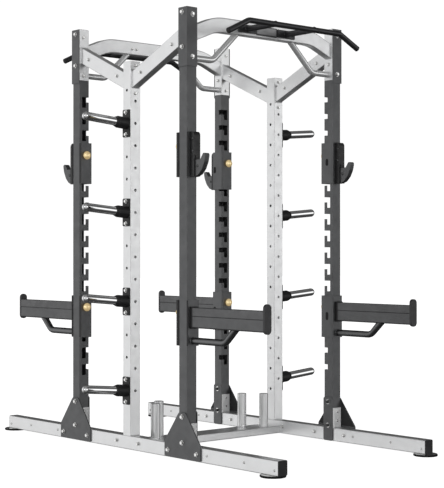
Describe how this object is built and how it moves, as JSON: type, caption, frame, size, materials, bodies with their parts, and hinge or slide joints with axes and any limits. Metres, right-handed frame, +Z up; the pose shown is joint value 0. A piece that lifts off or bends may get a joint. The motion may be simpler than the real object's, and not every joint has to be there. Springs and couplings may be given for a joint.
{
  "type": "double-sided half rack",
  "caption": "Free-standing steel training rack with slotted uprights, lift-and-lock bar hooks and spotter arms, pull-up handles, weight storage pegs and upright bar holders.",
  "frame": {"origin": "on the floor, at the centre of the footprint", "axes": "+X along the base rails towards one training side, +Y across them to the other rail, +Z up"},
  "size_m": [2.5862, 1.8106, 2.467],
  "materials": {
    "silver_paint": "silver powder coat, fine satin",
    "dark_paint": "charcoal powder coat, satin",
    "black_steel": "black powder coat, satin",
    "black_plastic": "moulded, matte",
    "amber_knob": "moulded, glossy",
    "chrome_steel": "polished plate"
  },
  "bodies": {
    "frame": {"base_rail_near": "silver_paint", "centre_post_near": "silver_paint", "storage_peg_near_1": "chrome_steel", "storage_peg_near_2": "chrome_steel", "storage_peg_near_3": "chrome_steel", "storage_peg_near_4": "chrome_steel", "base_rail_far": "silver_paint", "centre_post_far": "silver_paint", "storage_peg_far_1": "chrome_steel", "storage_peg_far_2": "chrome_steel", "storage_peg_far_3": "chrome_steel", "storage_peg_far_4": "chrome_steel", "head_frame_left": "silver_paint", "pull_up_handle_left": "black_steel", "head_frame_right": "silver_paint", "pull_up_handle_right": "black_steel", "base_cross_member": "silver_paint", "rail_foot_near_left": "black_plastic", "upright_near_left": "dark_paint", "base_gusset_near_left": "dark_paint", "head_angle_near_left": "dark_paint", "v_arm_near_left": "silver_paint", "rail_foot_near_right": "black_plastic", "upright_near_right": "dark_paint", "base_gusset_near_right": "dark_paint", "head_angle_near_right": "dark_paint", "v_arm_near_right": "silver_paint", "rail_foot_far_left": "black_plastic", "upright_far_left": "dark_paint", "base_gusset_far_left": "dark_paint", "head_angle_far_left": "dark_paint", "v_arm_far_left": "silver_paint", "rail_foot_far_right": "black_plastic", "upright_far_right": "dark_paint", "base_gusset_far_right": "dark_paint", "head_angle_far_right": "dark_paint", "v_arm_far_right": "silver_paint"},
    "bar_hook_near_left": {"bar_hook_near_left": "dark_paint", "hook_liner_near_left": "black_plastic"},
    "hook_knob_near_left": {"hook_knob_near_left": "amber_knob"},
    "safety_arm_near_left": {"safety_arm_near_left": "dark_paint"},
    "arm_knob_near_left": {"arm_knob_near_left": "amber_knob"},
    "bar_hook_near_right": {"bar_hook_near_right": "dark_paint", "hook_liner_near_right": "black_plastic"},
    "hook_knob_near_right": {"hook_knob_near_right": "amber_knob"},
    "safety_arm_near_right": {"safety_arm_near_right": "dark_paint"},
    "arm_knob_near_right": {"arm_knob_near_right": "amber_knob"},
    "bar_hook_far_left": {"bar_hook_far_left": "dark_paint", "hook_liner_far_left": "black_plastic"},
    "hook_knob_far_left": {"hook_knob_far_left": "amber_knob"},
    "safety_arm_far_left": {"safety_arm_far_left": "dark_paint"},
    "arm_knob_far_left": {"arm_knob_far_left": "amber_knob"},
    "bar_hook_far_right": {"bar_hook_far_right": "dark_paint", "hook_liner_far_right": "black_plastic"},
    "hook_knob_far_right": {"hook_knob_far_right": "amber_knob"},
    "safety_arm_far_right": {"safety_arm_far_right": "dark_paint"},
    "arm_knob_far_right": {"arm_knob_far_right": "amber_knob"}
  },
  "joints": [
    {"name": "bar_hook_lift_near_left", "type": "slide", "parent": "frame", "child": "bar_hook_near_left", "axis": [0, 0, 1], "range_m": [0, 0.028]},
    {"name": "hook_knob_pull_near_left", "type": "slide", "parent": "bar_hook_near_left", "child": "hook_knob_near_left", "axis": [1, 0, 0], "range_m": [0, 0.012], "stiffness_N_per_m": 600, "springref_m": -0.004},
    {"name": "safety_arm_lift_near_left", "type": "slide", "parent": "frame", "child": "safety_arm_near_left", "axis": [0, 0, 1], "range_m": [0, 0.028]},
    {"name": "arm_knob_pull_near_left", "type": "slide", "parent": "safety_arm_near_left", "child": "arm_knob_near_left", "axis": [1, 0, 0], "range_m": [0, 0.012], "stiffness_N_per_m": 600, "springref_m": -0.004},
    {"name": "bar_hook_lift_near_right", "type": "slide", "parent": "frame", "child": "bar_hook_near_right", "axis": [0, 0, 1], "range_m": [0, 0.028]},
    {"name": "hook_knob_pull_near_right", "type": "slide", "parent": "bar_hook_near_right", "child": "hook_knob_near_right", "axis": [-1, 0, 0], "range_m": [0, 0.012], "stiffness_N_per_m": 600, "springref_m": -0.004},
    {"name": "safety_arm_lift_near_right", "type": "slide", "parent": "frame", "child": "safety_arm_near_right", "axis": [0, 0, 1], "range_m": [0, 0.028]},
    {"name": "arm_knob_pull_near_right", "type": "slide", "parent": "safety_arm_near_right", "child": "arm_knob_near_right", "axis": [-1, 0, 0], "range_m": [0, 0.012], "stiffness_N_per_m": 600, "springref_m": -0.004},
    {"name": "bar_hook_lift_far_left", "type": "slide", "parent": "frame", "child": "bar_hook_far_left", "axis": [0, 0, 1], "range_m": [0, 0.028]},
    {"name": "hook_knob_pull_far_left", "type": "slide", "parent": "bar_hook_far_left", "child": "hook_knob_far_left", "axis": [1, 0, 0], "range_m": [0, 0.012], "stiffness_N_per_m": 600, "springref_m": -0.004},
    {"name": "safety_arm_lift_far_left", "type": "slide", "parent": "frame", "child": "safety_arm_far_left", "axis": [0, 0, 1], "range_m": [0, 0.028]},
    {"name": "arm_knob_pull_far_left", "type": "slide", "parent": "safety_arm_far_left", "child": "arm_knob_far_left", "axis": [1, 0, 0], "range_m": [0, 0.012], "stiffness_N_per_m": 600, "springref_m": -0.004},
    {"name": "bar_hook_lift_far_right", "type": "slide", "parent": "frame", "child": "bar_hook_far_right", "axis": [0, 0, 1], "range_m": [0, 0.028]},
    {"name": "hook_knob_pull_far_right", "type": "slide", "parent": "bar_hook_far_right", "child": "hook_knob_far_right", "axis": [-1, 0, 0], "range_m": [0, 0.012], "stiffness_N_per_m": 600, "springref_m": -0.004},
    {"name": "safety_arm_lift_far_right", "type": "slide", "parent": "frame", "child": "safety_arm_far_right", "axis": [0, 0, 1], "range_m": [0, 0.028]},
    {"name": "arm_knob_pull_far_right", "type": "slide", "parent": "safety_arm_far_right", "child": "arm_knob_far_right", "axis": [-1, 0, 0], "range_m": [0, 0.012], "stiffness_N_per_m": 600, "springref_m": -0.004}
  ]
}
